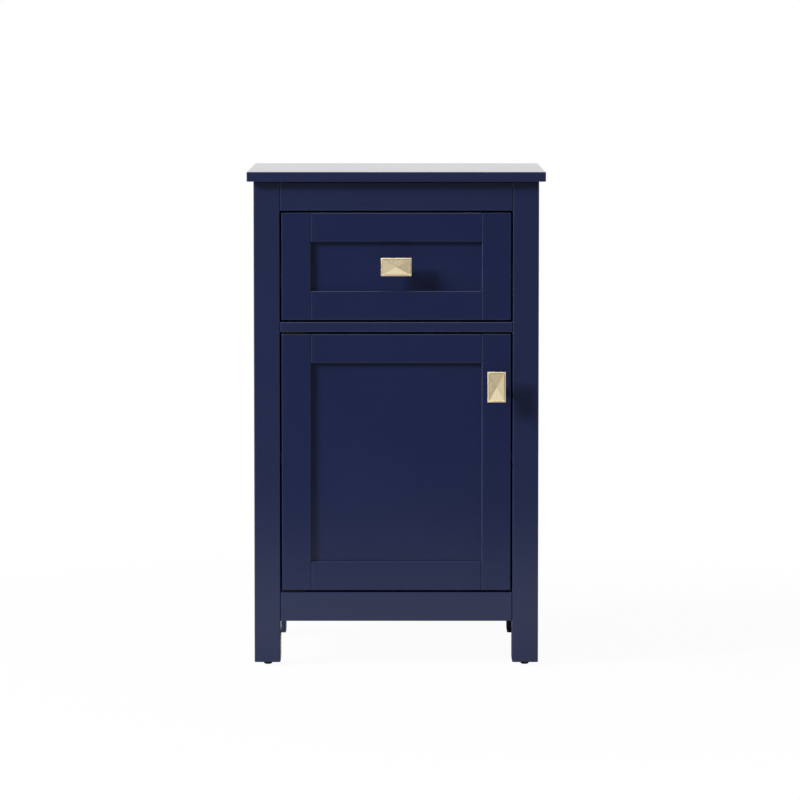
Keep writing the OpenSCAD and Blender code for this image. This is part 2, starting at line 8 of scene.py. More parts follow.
import bmesh
import bpy
from mathutils import Matrix, Vector


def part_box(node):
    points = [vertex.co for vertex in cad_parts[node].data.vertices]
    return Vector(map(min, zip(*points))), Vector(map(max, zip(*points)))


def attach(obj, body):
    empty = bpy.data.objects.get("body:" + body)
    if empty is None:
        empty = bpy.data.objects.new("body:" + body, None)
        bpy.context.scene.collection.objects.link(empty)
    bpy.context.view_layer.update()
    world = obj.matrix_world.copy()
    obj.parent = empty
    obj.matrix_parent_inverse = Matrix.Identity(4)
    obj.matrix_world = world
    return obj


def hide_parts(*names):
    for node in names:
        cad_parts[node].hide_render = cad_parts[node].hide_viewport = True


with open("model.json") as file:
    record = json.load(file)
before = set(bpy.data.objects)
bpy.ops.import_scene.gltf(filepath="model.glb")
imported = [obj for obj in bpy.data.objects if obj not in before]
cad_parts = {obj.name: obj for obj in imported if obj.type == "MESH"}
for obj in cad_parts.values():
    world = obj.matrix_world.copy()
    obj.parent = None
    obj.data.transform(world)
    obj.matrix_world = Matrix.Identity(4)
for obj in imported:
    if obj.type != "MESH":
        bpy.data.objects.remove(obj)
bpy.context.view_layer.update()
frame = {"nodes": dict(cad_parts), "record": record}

MM = 0.001
X, Y, Z = range(3)
NODES = frame["nodes"]
BODY_OF = {node: body for body, nodes in frame["record"]["behaviour"]["bodies"].items() for node in nodes}
SLOT_OF = {name: obj.data.materials[0].name for name, obj in NODES.items()}

# Camera
CAMERA_AT = (0.0057, -6.98, 0.999)
CAMERA_DOWN = math.radians(4.936)
LENS = 200.1
SENSOR_WIDTH = 36.0
FARTHEST = 100.0

# Lamps: the key comes from the upper left in front, the overhead lamp from above
KEY_FROM = Vector((-0.789, -0.393, 0.473))
LIGHT_AIM = Vector((0.0, -0.1, 0.4))
KEY_DISTANCE = 6.0
KEY_SIZE = 1.6
KEY_POWER = 575.0
OVERHEAD_AT = (0.0, -0.5, 2.3)
OVERHEAD_SIZE = 1.4
OVERHEAD_POWER = 10.0

# Room: ROOM_FILL is what matt surfaces get, from left to right. Reflections see curves of
# (direction from -1 to 1, strength) stops: ACROSS from left to right, UPWARD from below to above.
# BEHIND is where the room turns white. The edge strip is a narrow light at the left, between the
# heights LOW and HIGH, which draws the thin light lines on the edges.
ROOM_FILL = (0.05, 0.18)
ROOM_ACROSS = ((-1.0, 0.9), (-0.89, 0.8), (-0.81, 0.14), (-0.70, 0.02), (-0.56, 0.36), (-0.42, 1.06),
               (-0.04, 0.10), (0.18, 0.10), (0.44, 0.57), (0.70, 0.78), (0.85, 0.85), (1.0, 1.0))
ROOM_UPWARD = ((-1.0, 0.16), (-0.15, 0.15), (0.05, 0.22), (0.20, 0.35), (0.44, 0.70), (0.70, 0.28),
               (0.82, 0.40), (0.89, 1.8), (1.0, 3.4))
ROOM_BEHIND = (-0.25, 0.35)
EDGE_STRIP = ((-1.0, 4.6), (-0.89, 2.6), (-0.82, 0.0))
STRIP_LOW = (-0.21, -0.14)
STRIP_HIGH = (0.0, 0.07)

# Floor: white to the camera, with a trace of the real shade near the cabinet. Reflections see it
# darker in two discs of painted shade, placed where the cabinet shades the floor: inside them the glow
# is taken away and reflections see the lamp-lit floor with its real shadow. Each disc is given as its
# middle, then its dark radius and its clear radius.
FLOOR_RADIUS = 1.6
FLOOR_SIDES = 96
FLOOR_PAPER = ((0.68, 0.68, 0.68, 1.0), (0.72, 0.72, 0.72, 1.0))
FLOOR_GLOW = 0.96
FLOOR_FADE = (0.6, 1.5)
SHADED_FLOOR = (((0.10, -0.08), (0.28, 0.58)), ((0.0, 0.30), (0.34, 0.62)))


# ---- Small helpers for node trees ----

class Graph:
    """A node tree being drawn. A value that is a socket is linked; anything else is set."""

    def __init__(self, tree):
        self.tree = tree
        tree.nodes.clear()

    def add(self, kind, inputs=None, **settings):
        node = self.tree.nodes.new(kind)
        for key, value in settings.items():
            setattr(node, key, value)
        for key, value in (inputs or {}).items():
            self.feed(node.inputs[key], value)
        return node

    def feed(self, socket, value):
        if isinstance(value, bpy.types.NodeSocket):
            self.tree.links.new(value, socket)
        else:
            socket.default_value = value

    def math(self, operation, a, b=0.0, clamp=False):
        node = self.add("ShaderNodeMath", {0: a, 1: b}, operation=operation, use_clamp=clamp)
        return node.outputs[0]

    def vector(self, operation, a, b=(0.0, 0.0, 0.0)):
        return self.add("ShaderNodeVectorMath", {0: a, 1: b}, operation=operation).outputs[0]

    def noise(self, where, scale, detail=2.0, roughness=0.5):
        inputs = {"Vector": where, "Scale": scale, "Detail": detail, "Roughness": roughness}
        return self.add("ShaderNodeTexNoise", inputs).outputs[0]

    def spread(self, value, low, high, to_low=0.0, to_high=1.0, smooth=False):
        inputs = {"Value": value, "From Min": low, "From Max": high, "To Min": to_low, "To Max": to_high}
        kind = "SMOOTHSTEP" if smooth else "LINEAR"
        return self.add("ShaderNodeMapRange", inputs, interpolation_type=kind).outputs[0]

    def mix(self, factor, a, b):
        """A mix of two colours; a Mix node keeps its colour sockets after those of the other types."""
        node = self.add("ShaderNodeMix", {"Factor": factor, 6: a, 7: b}, data_type="RGBA")
        return node.outputs[2]

    def ramp(self, value, stops):
        """A curve through (value, strength) stops, for values from -1 to 1."""
        node = self.add("ShaderNodeValToRGB", {0: self.spread(value, -1.0, 1.0)})
        elements = node.color_ramp.elements
        while len(elements) < len(stops):
            elements.new(0.5)
        for element, (at, strength) in zip(elements, stops):
            element.position = (at + 1.0) / 2.0
            element.color = (strength, strength, strength, 1.0)
        return node.outputs[0]

    def bump(self, height, distance):
        return self.add("ShaderNodeBump", {"Height": height, "Distance": distance}).outputs[0]

    def parts(self, vector):
        return self.add("ShaderNodeSeparateXYZ", {0: vector}).outputs


def colour(red, green, blue):
    return (red, green, blue, 1.0)


def material(name):
    made = bpy.data.materials.new(name)
    made.use_nodes = True
    return made, Graph(made.node_tree)


def surface(graph, **inputs):
    """Ends a material in one Principled shader with these inputs."""
    shader = graph.add("ShaderNodeBsdfPrincipled", {k.replace("_", " "): v for k, v in inputs.items()})
    output = graph.add("ShaderNodeOutputMaterial")
    graph.tree.links.new(shader.outputs[0], output.inputs["Surface"])


def object_space(graph):
    return graph.add("ShaderNodeTexCoord").outputs["Object"]


def along(axis, small, large):
    """Scales that stretch a pattern along one axis: few repeats along it, many across."""
    return tuple(small if i == axis else large for i in range(3))


def longest(size):
    return max(range(3), key=lambda i: size[i])


def ray_kinds(g):
    """Two masks: rays straight from the camera, and mirrored or refracted rays."""
    path = g.add("ShaderNodeLightPath").outputs
    mirrored = g.math("ADD", path["Is Glossy Ray"], path["Is Transmission Ray"], clamp=True)
    return path["Is Camera Ray"], mirrored


# ---- Materials ----

NAVY_TONES = ((0.0082, 0.0140, 0.0540), (0.0104, 0.0162, 0.0610))
NAVY_SPECK = colour(0.0130, 0.0200, 0.0700)
BIRCH_TONES = (colour(0.56, 0.40, 0.235), colour(0.66, 0.495, 0.305))
BIRCH_FIBRE = colour(0.42, 0.275, 0.145)
BIRCH_END = (colour(0.36, 0.22, 0.115), colour(0.56, 0.38, 0.21))
PLY_EDGE = (colour(0.40, 0.25, 0.13), colour(0.70, 0.52, 0.32))
PLY_TWO_LAYERS = 2.8 * MM
BRASS_TONES = (colour(0.800, 0.674, 0.434), colour(0.835, 0.709, 0.465))
PLASTIC_TONES = (colour(0.012, 0.012, 0.013), colour(0.020, 0.020, 0.022))


def navy_lacquer(name, shine, roughness, lift=0.0):
    """Sprayed navy lacquer with a slight orange peel; lift lightens the whole tone."""
    made, g = material(name)
    where = object_space(g)
    cloud = g.noise(where, 7.0, 1.5)
    speck = g.noise(where, 420.0, 2.0)
    tone = g.mix(cloud, *(colour(*(channel + lift for channel in shade)) for shade in NAVY_TONES))
    base = g.mix(g.spread(speck, 0.62, 0.80, 0.0, 0.35, smooth=True), tone, NAVY_SPECK)
    peel = g.math("ADD", g.noise(where, 620.0, 1.5), g.math("MULTIPLY", g.noise(where, 90.0, 1.0), 2.5))
    surface(g, Base_Color=base, Roughness=g.spread(cloud, 0.0, 1.0, roughness - 0.02, roughness + 0.02),
            IOR=1.42, Specular_IOR_Level=shine, Normal=g.bump(peel, 0.000012))
    return made


def birch(axis, thin_axis=None):
    """Clear-coated birch with its grain along axis; plywood shows its layers on its edges."""
    name = "birch_" + "xyz"[axis] + ("_ply" if thin_axis is not None else "")
    made, g = material(name)
    coordinates = g.add("ShaderNodeTexCoord")
    luck = g.add("ShaderNodeObjectInfo").outputs["Random"]
    luck_by_axis = {i: g.math("MULTIPLY", luck, 3.0 + i) for i in range(3)}
    shift = g.add("ShaderNodeCombineXYZ", luck_by_axis).outputs[0]
    where = g.vector("ADD", coordinates.outputs["Object"], shift)
    warp = g.noise(g.vector("MULTIPLY", where, along(axis, 2.0, 9.0)), 1.0, 2.0)
    figure = g.noise(g.vector("MULTIPLY", where, along(axis, 2.2, 34.0)), 1.0, 4.0, 0.55)
    bands = g.math("SINE", g.math("MULTIPLY", g.math("ADD", figure, warp), 34.0))
    fibre = g.noise(g.vector("MULTIPLY", where, along(axis, 26.0, 900.0)), 1.0, 2.0)
    tone = g.mix(g.spread(bands, -1.0, 1.0), *BIRCH_TONES)
    tone = g.mix(g.spread(fibre, 0.40, 0.72, 0.0, 0.40), tone, BIRCH_FIBRE)
    facing = g.parts(g.vector("ABSOLUTE", coordinates.outputs["Normal"]))
    if thin_axis is None:
        end = g.spread(facing[axis], 0.6, 0.8)
        rings = g.noise(g.vector("MULTIPLY", where, along(axis, 5.0, 160.0)), 1.0, 3.0)
        cut = g.mix(rings, *BIRCH_END)
    else:
        end = g.spread(facing[thin_axis], 0.8, 0.6)
        depth = g.parts(coordinates.outputs["Object"])[thin_axis]
        layer = g.math("SINE", g.math("MULTIPLY", depth, math.tau / PLY_TWO_LAYERS))
        cut = g.mix(g.spread(layer, -0.15, 0.15), *PLY_EDGE)
    base = g.mix(end, tone, cut)
    surface(g, Base_Color=base, Roughness=g.spread(fibre, 0.3, 0.7, 0.44, 0.56),
            Coat_Weight=0.25, Coat_Roughness=0.30, Normal=g.bump(fibre, 0.00004))
    return made


def brushed_brass(axis):
    """Satin champagne brass, brushed along axis."""
    made, g = material("brushed_brass_" + "xyz"[axis])
    where = object_space(g)
    strokes = g.noise(g.vector("MULTIPLY", where, along(axis, 60.0, 5200.0)), 1.0, 2.0)
    haze = g.noise(where, 110.0, 2.0)
    surface(g, Base_Color=g.mix(strokes, *BRASS_TONES), Metallic=1.0,
            Roughness=g.spread(haze, 0.2, 0.8, 0.255, 0.285, smooth=True),
            Normal=g.bump(strokes, 0.0000025))
    return made


def steel(name, dark, light, roughness):
    """A plated steel: a mottled tone with fine scuffs."""
    made, g = material(name)
    where = object_space(g)
    mottle = g.noise(where, 160.0, 3.0)
    scuff = g.noise(g.vector("MULTIPLY", where, (900.0, 120.0, 900.0)), 1.0, 2.0)
    base = g.mix(g.spread(mottle, 0.25, 0.75, smooth=True), dark, light)
    surface(g, Base_Color=base, Metallic=1.0, Normal=g.bump(scuff, 0.000003),
            Roughness=g.spread(mottle, 0.25, 0.75, roughness - 0.025, roughness + 0.025, smooth=True))
    return made


def black_plastic():
    made, g = material("black_plastic")
    where = object_space(g)
    grain = g.noise(where, 2400.0, 2.0)
    surface(g, Base_Color=g.mix(g.noise(where, 60.0, 2.0), *PLASTIC_TONES),
            Roughness=g.spread(grain, 0.3, 0.7, 0.42, 0.52), Normal=g.bump(grain, 0.00001))
    return made


NAVY = navy_lacquer("navy_lacquer", shine=0.5, roughness=0.20, lift=0.0020)
# The top panel's lacquer is glossier than the rest, which is real; its larger lift is painted light, a
# lighter tone for the light the top surface catches.
NAVY_TOP_PAINTED_LIGHT = navy_lacquer("navy_lacquer_top_painted_light", shine=0.5, roughness=0.13, lift=0.0035)
NAVY_FRONT = navy_lacquer("navy_lacquer_front", shine=0.40, roughness=0.20)
ZINC = steel("zinc_steel", colour(0.52, 0.53, 0.54), colour(0.59, 0.60, 0.61), roughness=0.36)
BRONZE = steel("bronze_steel", colour(0.010, 0.008, 0.007), colour(0.017, 0.014, 0.012), roughness=0.55)
PLASTIC = black_plastic()
SOLID_BIRCH = [birch(axis) for axis in (X, Y, Z)]
PLYWOOD = {"back_panel": birch(Z, Y), "bottom_panel": birch(X, Z), "drawer_bottom": birch(Y, Z)}
PLYWOOD["shelf"] = PLYWOOD["bottom_panel"]


# ---- The CAD nodes: eased edges and a finish ----

TOUCHING = 0.05 * MM
WELDED = 0.01 * MM
LINE_SHARE = 0.70
OUTWARD_TURN = math.radians(50.0)
SHARP_TURN = math.radians(35.0)
FACET_TURN = math.radians(8.5)
FLAT_TURN = math.radians(0.5)
BEVEL_STEPS = 5


def outer_edges(g, start, ends, length):
    """The easing of edges on the outside of a piece's box: full for the shoulders of a rail,
    which show as the joint lines, and a smaller share along the edges of the box."""
    box = g.add("GeometryNodeBoundBox", {"Geometry": start}).outputs
    middle = g.vector("MULTIPLY", g.vector("ADD", ends["Position 1"], ends["Position 2"]), (0.5, 0.5, 0.5))
    to_low = g.vector("ABSOLUTE", g.vector("SUBTRACT", middle, box["Min"]))
    to_high = g.vector("ABSOLUTE", g.vector("SUBTRACT", middle, box["Max"]))
    touched = 0.0
    for gap in g.parts(g.vector("MINIMUM", to_low, to_high)):
        touched = g.math("ADD", g.math("LESS_THAN", gap, TOUCHING), touched)
    rise = g.math("ABSOLUTE", g.parts(g.vector("SUBTRACT", ends["Position 1"], ends["Position 2"]))[Z])
    upright = g.math("LESS_THAN", g.math("SUBTRACT", length, rise), TOUCHING)
    on_box_edge = g.math("GREATER_THAN", touched, 1.5)
    on_box_side = g.math("GREATER_THAN", touched, 0.5)
    return g.math("MAXIMUM", g.math("MULTIPLY", on_box_edge, LINE_SHARE),
                  g.math("MULTIPLY", g.math("SUBTRACT", on_box_side, on_box_edge), upright))


def geometry_group(name):
    """A geometry node group with one geometry in and one out."""
    tree = bpy.data.node_groups.new(name, "GeometryNodeTree")
    for way in ("INPUT", "OUTPUT"):
        tree.interface.new_socket("Geometry", in_out=way, socket_type="NodeSocketGeometry")
    g = Graph(tree)
    return tree, g, g.add("NodeGroupInput").outputs[0]


def smooth_but(g, start, crisp):
    """Smooth faces, with hard edges where crisp is true."""
    inputs = {"Geometry": start, "Shade Smooth": True}
    smooth = g.add("GeometryNodeSetShadeSmooth", inputs, domain="FACE").outputs[0]
    inputs = {"Geometry": smooth, "Selection": crisp, "Shade Smooth": False}
    return g.add("GeometryNodeSetShadeSmooth", inputs, domain="EDGE").outputs[0]


def edge_marker(name, shortest, outside_only):
    """Marks long outward edges for the bevel and shades the rest by angle."""
    tree, g, start = geometry_group(name)
    angle = g.add("GeometryNodeInputMeshEdgeAngle").outputs
    ends = g.add("GeometryNodeInputMeshEdgeVertices").outputs
    both_ends = {0: ends["Position 1"], 1: ends["Position 2"]}
    length = g.add("ShaderNodeVectorMath", both_ends, operation="DISTANCE").outputs["Value"]
    outward = g.math("GREATER_THAN", angle["Signed Angle"], OUTWARD_TURN)
    eased = g.math("MULTIPLY", g.math("GREATER_THAN", length, shortest), outward)
    if outside_only:
        eased = g.math("MULTIPLY", eased, outer_edges(g, start, ends, length))
    sharp = g.math("GREATER_THAN", angle["Unsigned Angle"], SHARP_TURN)
    crisp = g.math("GREATER_THAN", g.math("SUBTRACT", sharp, eased), 0.5)
    store = g.add("GeometryNodeStoreNamedAttribute", data_type="FLOAT", domain="EDGE")
    g.feed(store.inputs["Geometry"], smooth_but(g, start, crisp))
    g.feed(store.inputs["Name"], "bevel_weight_edge")
    g.feed(store.inputs["Value"], eased)
    g.feed(g.add("NodeGroupOutput").inputs[0], store.outputs[0])
    return tree


def shade_by_angle(name, angle):
    """Smooth faces, split along every edge that turns more than this angle."""
    tree, g, start = geometry_group(name)
    turn = g.add("GeometryNodeInputMeshEdgeAngle").outputs["Unsigned Angle"]
    crisp = g.math("GREATER_THAN", turn, angle)
    g.feed(g.add("NodeGroupOutput").inputs[0], smooth_but(g, start, crisp))
    return tree


MARK_LONG = edge_marker("mark_long_edges", shortest=5.0 * MM, outside_only=True)
MARK_SHORT = edge_marker("mark_short_edges", shortest=0.9 * MM, outside_only=False)
BY_ANGLE = shade_by_angle("shade_by_angle", FACET_TURN)


def ease_edges(obj, radius, marker):
    """Rounds the outward edges of a CAD node without changing its mesh."""
    obj.modifiers.new("weld", "WELD").merge_threshold = WELDED
    flat = obj.modifiers.new("flat_faces", "DECIMATE")
    flat.decimate_type = "DISSOLVE"
    flat.angle_limit = FLAT_TURN
    obj.modifiers.new("mark_edges", "NODES").node_group = marker
    bevel = obj.modifiers.new("eased_edges", "BEVEL")
    bevel.limit_method = "WEIGHT"
    bevel.width = radius
    bevel.segments = BEVEL_STEPS
    bevel.use_clamp_overlap = False
    bevel.loop_slide = False
    obj.modifiers.new("flat_facets", "NODES").node_group = BY_ANGLE
    obj.modifiers.new("even_shading", "WEIGHTED_NORMAL").keep_sharp = True


EASE = {"navy_paint": 2.5 * MM, "birch": 0.6 * MM, "zinc_steel": 0.25 * MM, "bronze_steel": 0.35 * MM,
        "black_plastic": 0.4 * MM}
TOP_EASE = 2.2 * MM
SLOT_FINISH = {"navy_paint": NAVY, "zinc_steel": ZINC, "bronze_steel": BRONZE, "black_plastic": PLASTIC}
# The top panel gets the lacquer with painted light: its tone is lighter than the same paint elsewhere.
# The shelf pins get the dark hinge finish as painted shade: they show in the gaps beside the door, which
# should read dark there
NODE_FINISH = {**PLYWOOD, "top_panel": NAVY_TOP_PAINTED_LIGHT, "shelf_pins": BRONZE}


def finish_material(node, obj):
    """A node's own finish, or else its slot's; solid birch has its grain along the longest side."""
    slot = SLOT_OF[node]
    if node in NODE_FINISH:
        return NODE_FINISH[node]
    if slot == "birch":
        return SOLID_BIRCH[longest(obj.dimensions)]
    if slot == "navy_paint" and BODY_OF[node] != "cabinet":
        return NAVY_FRONT
    return SLOT_FINISH[slot]


def finish_cad_nodes(left_out):
    for node, obj in NODES.items():
        if node in left_out:
            continue
        obj.data.materials[0] = finish_material(node, obj)
        slot = SLOT_OF[node]
        radius = TOP_EASE if node == "top_panel" else EASE[slot]
        ease_edges(obj, radius, MARK_LONG if slot in ("navy_paint", "birch") else MARK_SHORT)


# ---- Meshes made here ----

def make_mesh(name, verts, faces, finish, flat_faces=()):
    mesh = bpy.data.meshes.new(name)
    mesh.from_pydata(verts, [], faces)
    work = bmesh.new()
    work.from_mesh(mesh)
    work.faces.ensure_lookup_table()
    for face in work.faces:
        face.smooth = face.index not in flat_faces
    bmesh.ops.recalc_face_normals(work, faces=work.faces)
    for edge in work.edges:
        edge.smooth = not edge.is_manifold or edge.calc_face_angle(0.0) < SHARP_TURN
    work.to_mesh(mesh)
    work.free()
    mesh.materials.append(finish)
    obj = bpy.data.objects.new(name, mesh)
    bpy.context.scene.collection.objects.link(obj)
    obj.modifiers.new("even_shading", "WEIGHTED_NORMAL").keep_sharp = True
    return obj


def mesh_piece(name, shape, finish, replaced):
    """Makes one piece that stands for a CAD node, on that node's body and with the finish it is given; the
    node is hidden.
    """
    obj = make_mesh(name, shape.verts, shape.faces, finish, shape.flat)
    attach(obj, BODY_OF[replaced])
    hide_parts(replaced)


def added_piece(name, shape, finish, body):
    """A piece with no CAD node of its own."""
    obj = make_mesh(name, shape.verts, shape.faces, finish)
    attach(obj, body)


class Shape:
    """Vertices and faces of one piece, put together from lofted rings; flat holds unsmoothed faces."""

    def __init__(self):
        self.verts = []
        self.faces = []
        self.flat = set()

    def loft(self, rings, flat_from=None, place=tuple):
        """Joins rings of equal length into a closed skin with capped ends; a ring of one point is a tip.
        Faces from ring flat_from on stay flat."""
        starts = []
        for ring in rings:
            starts.append(len(self.verts))
            self.verts.extend(place(Vector(p)) for p in ring)
        for i in range(len(rings) - 1):
            low, high = starts[i], starts[i + 1]
            n, m = len(rings[i]), len(rings[i + 1])
            for k in range(max(n, m)):
                after = (k + 1) % max(n, m)
                quad = [low + k % n, low + after % n, high + after % m, high + k % m]
                if flat_from is not None and i >= flat_from:
                    self.flat.add(len(self.faces))
                self.faces.append(list(dict.fromkeys(quad)))
        for start, ring in ((starts[0], rings[0]), (starts[-1], rings[-1])):
            if len(ring) > 2:
                self.faces.append([start + k for k in range(len(ring))])


def circle(radius, height, count):
    return [(radius * math.cos(math.tau * k / count), radius * math.sin(math.tau * k / count), height)
            for k in range(count)]


def rectangle(half_x, half_y, height):
    return [(half_x, half_y, height), (-half_x, half_y, height),
            (-half_x, -half_y, height), (half_x, -half_y, height)]


BACKWARDS, FORWARDS = 1, -1


def standing(x, y, z, way):
    """Places rings drawn across and up at a point; their height runs along Y, backwards or forwards."""
    return lambda p: (x + p.x, y + way * p.z, z + p.y)


# Knobs: the sizes are those of the CAD knob. The stem's outline is given as (radius, height), in mm:
# the foot's heights are from the wood, the flare's from the back of the head.
KNOB_EDGE = 4.0 * MM
KNOB_RIM = 2.6 * MM
PYRAMID = 5.0 * MM
STEM_FOOT = ((9.6, 0.0), (10.0, 0.4), (10.0, 1.8), (9.8, 2.3), (9.3, 2.5), (6.8, 2.5), (6.2, 2.8),
             (6.0, 3.4))
STEM_FLARE = ((6.0, -3.8), (6.3, -2.7), (7.0, -1.5), (9.0, 0.0), (9.0, 0.2))
STEM_SIDES = 48
KNOB_EASE = 0.55 * MM
KNOB_EASE_STEPS = 3
RIM_ROUND = 1.5 * MM
RIM_TILT = math.radians(14.0)
RIM_STEPS = 5
GROOVE = 0.30 * MM


def knob(node, finish):
    """A head with a flat pyramid inside a rim, on a flared stem and a round base."""
    low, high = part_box(node)
    centre = (low + high) / 2
    half_x, half_y = (high.x - low.x) / 2, (high.z - low.z) / 2
    height = high.y - low.y
    face = height - PYRAMID
    back = face - KNOB_EDGE
    rings = []
    for step in range(KNOB_EASE_STEPS + 1):
        a = math.pi / 2 * step / KNOB_EASE_STEPS
        pull = KNOB_EASE * (1 - math.sin(a))
        rings.append(rectangle(half_x - pull, half_y - pull, back + KNOB_EASE * (1 - math.cos(a))))
    inner_x, inner_y = half_x - KNOB_RIM, half_y - KNOB_RIM
    shoulder = face - (KNOB_RIM - GROOVE - RIM_ROUND) * math.tan(RIM_TILT)
    for step in range(RIM_STEPS + 1):
        a = (math.pi / 2 - RIM_TILT) * step / RIM_STEPS
        pull = RIM_ROUND * (1 - math.cos(a))
        rings.append(rectangle(half_x - pull, half_y - pull, shoulder - RIM_ROUND * (1 - math.sin(a))))
    rings.append(rectangle(inner_x + GROOVE, inner_y + GROOVE, face))
    rings.append(rectangle(inner_x, inner_y, face - GROOVE))
    slope_from = len(rings) - 1
    rings.append([(0.0, 0.0, height)])
    stem = [circle(radius * MM, z * MM, STEM_SIDES) for radius, z in STEM_FOOT]
    stem += [circle(radius * MM, back + z * MM, STEM_SIDES) for radius, z in STEM_FLARE]
    place = standing(centre.x, high.y, centre.z, FORWARDS)
    shape = Shape()
    shape.loft(rings, flat_from=slope_from, place=place)
    shape.loft(stem, place=place)
    mesh_piece(node + "_brass", shape, finish, node)


# Screws: every separate solid of a CAD screw node is found and made again with a turned,
# cross-recessed head. Shares are of the head's radius or height, or of the shank's radius.
CROSS_ARM = 0.62
CROSS_WIDTH = 0.17
CROSS_TAPER = 0.72
RECESS_DEPTH = 0.55
PAN_FLAT = 0.62
PAN_DOME = 0.75
PAN_STEPS = 5
SUNK_FLAT = 0.94
SUNK_ROUND = 0.05
THREAD_PITCH = 1.25 * MM
MACHINE_PITCH = 0.75 * MM
THREAD_ROOT = 0.82
THREAD_WIDTH = 0.3
POINT_LENGTH = 2.6
POINT_MIDDLE = (0.5, 0.4)
MACHINE_END = ((0.8, 0.3 * MM), (0.6, 0.0))
SAME_LEVEL = 0.02 * MM
SAME_RADIUS = 0.95


def islands(obj):
    """The separate solids of a node, each as a list of its corners."""
    work = bmesh.new()
    work.from_mesh(obj.data)
    bmesh.ops.remove_doubles(work, verts=work.verts, dist=WELDED)
    left = set(work.verts)
    found = []
    while left:
        queue = [left.pop()]
        corners = []
        while queue:
            vert = queue.pop()
            corners.append(vert.co.copy())
            for edge in vert.link_edges:
                other = edge.other_vert(vert)
                if other in left:
                    left.discard(other)
                    queue.append(other)
        found.append(corners)
    work.free()
    return sorted(found, key=lambda corners: [round(c, 5) for c in min(corners, key=tuple)])


def measure_screw(corners):
    """Where a screw's head is, which way it drives, and its radii and lengths."""
    low = Vector([min(p[i] for p in corners) for i in range(3)])
    high = Vector([max(p[i] for p in corners) for i in range(3)])
    size = high - low
    axis = longest(size)
    middle = (low + high) / 2
    sides = [i for i in range(3) if i != axis]

    def radius_at(level):
        near = [p for p in corners if abs(p[axis] - level) < SAME_LEVEL]
        return max((math.hypot(*(p[i] - middle[i] for i in sides)) for p in near), default=0.0)

    starts_low = radius_at(low[axis]) > radius_at(high[axis])
    drive = Vector([0.0, 0.0, 0.0])
    drive[axis] = 1.0 if starts_low else -1.0
    start = low[axis] if starts_low else high[axis]
    top = middle.copy()
    top[axis] = start
    levels = sorted({round(abs(p[axis] - start), 6) for p in corners})
    head_radius = radius_at(start)
    shank = radius_at(high[axis] if starts_low else low[axis])
    second = levels[1]
    pan = radius_at(start + drive[axis] * second) > SAME_RADIUS * head_radius
    return top, drive, head_radius, second, shank, size[axis], pan


def cross_radius(angle, arm, width):
    """How far the outline of a plus sign lies from its middle in one direction."""
    c, s = abs(math.cos(angle)) + 1e-9, abs(math.sin(angle)) + 1e-9
    return max(min(arm / c, width / s), min(arm / s, width / c))


def screw_angles():
    corner = math.atan2(CROSS_WIDTH, CROSS_ARM)
    quarter = [0.0, corner, math.pi / 4, math.pi / 2 - corner]
    between = [(a + b) / 2 for a, b in zip(quarter, quarter[1:] + [math.pi / 2])]
    one = sorted(quarter + between)
    return [a + turn * math.pi / 2 for turn in range(4) for a in one]


def add_screw(shape, corners, machine=False):
    top, drive, head, head_height, shank, length, pan = measure_screw(corners)
    angles = screw_angles()
    side = drive.orthogonal().normalized()
    other = drive.cross(side)

    def ring(radius, height):
        return [(radius * math.cos(a), radius * math.sin(a), height) for a in angles]

    def plus(scale, height):
        reach = [head * scale * cross_radius(a, CROSS_ARM, CROSS_WIDTH) for a in angles]
        return [(r * math.cos(a), r * math.sin(a), height) for r, a in zip(reach, angles)]

    depth = head_height * RECESS_DEPTH
    rings = [plus(CROSS_TAPER, depth), plus(1.0, 0.0)]
    if pan:
        for step in range(PAN_STEPS):
            a = math.pi / 2 * (step + 1) / PAN_STEPS
            rings.append(ring(head * (PAN_FLAT + (1 - PAN_FLAT) * math.sin(a)),
                              head_height * PAN_DOME * (1 - math.cos(a))))
        rings.append(ring(head, head_height))
    else:
        rings += [ring(head * SUNK_FLAT, 0.0), ring(head, head * SUNK_ROUND)]
    rings.append(ring(shank, head_height))
    rings += thread(ring, shank, head_height, length, machine)
    shape.loft(rings, place=lambda p: top + side * p.x + other * p.y + drive * p.z)


def thread(ring, shank, start, end, machine):
    """A threaded shank; a wood screw runs out to a point."""
    point = 0.0 if machine else POINT_LENGTH * shank
    pitch = MACHINE_PITCH if machine else THREAD_PITCH
    turns = max(1, int((end - point - start) / pitch))
    step = (end - point - start) / turns
    rings = []
    for turn in range(turns):
        crest = start + step * (turn + 0.5)
        rings += [ring(shank * THREAD_ROOT, crest - step * THREAD_WIDTH), ring(shank, crest),
                  ring(shank * THREAD_ROOT, crest + step * THREAD_WIDTH)]
    if machine:
        return rings + [ring(shank * share, end - back) for share, back in MACHINE_END]
    share, back = POINT_MIDDLE
    return rings + [ring(shank * share, end - point * back), [(0.0, 0.0, end)]]


def screws(node, machine=False):
    shape = Shape()
    for corners in islands(NODES[node]):
        add_screw(shape, corners, machine)
    mesh_piece(node + "_crosshead", shape, ZINC, node)


# Drawer slides: rolled steel channels, each inside the box of its CAD channel
SLIDE_STEEL = 1.2 * MM
BEND = 2.6 * MM
LIP_TURN = 0.9 * MM
LIP_SLANT = 0.2
BEND_STEPS = 5
STOP_LENGTH = 5.0 * MM


def channel_outline(reach, half_height):
    """A channel's cross-section as (distance from the web, height), with bent corners and turned lips."""
    def side(offset):
        bend = BEND - offset
        path = [(reach - offset * LIP_SLANT, half_height - LIP_TURN - offset),
                (reach - LIP_TURN * 2, half_height - offset)]
        for step in range(BEND_STEPS + 1):
            a = math.pi / 2 * (1 - step / BEND_STEPS)
            path.append((BEND - bend * math.cos(a), half_height - BEND + bend * math.sin(a)))
        return path

    outer = side(0.0)
    inner = side(SLIDE_STEEL)
    half = outer + [(u, -v) for u, v in reversed(outer)]
    back = inner + [(u, -v) for u, v in reversed(inner)]
    return half + list(reversed(back))


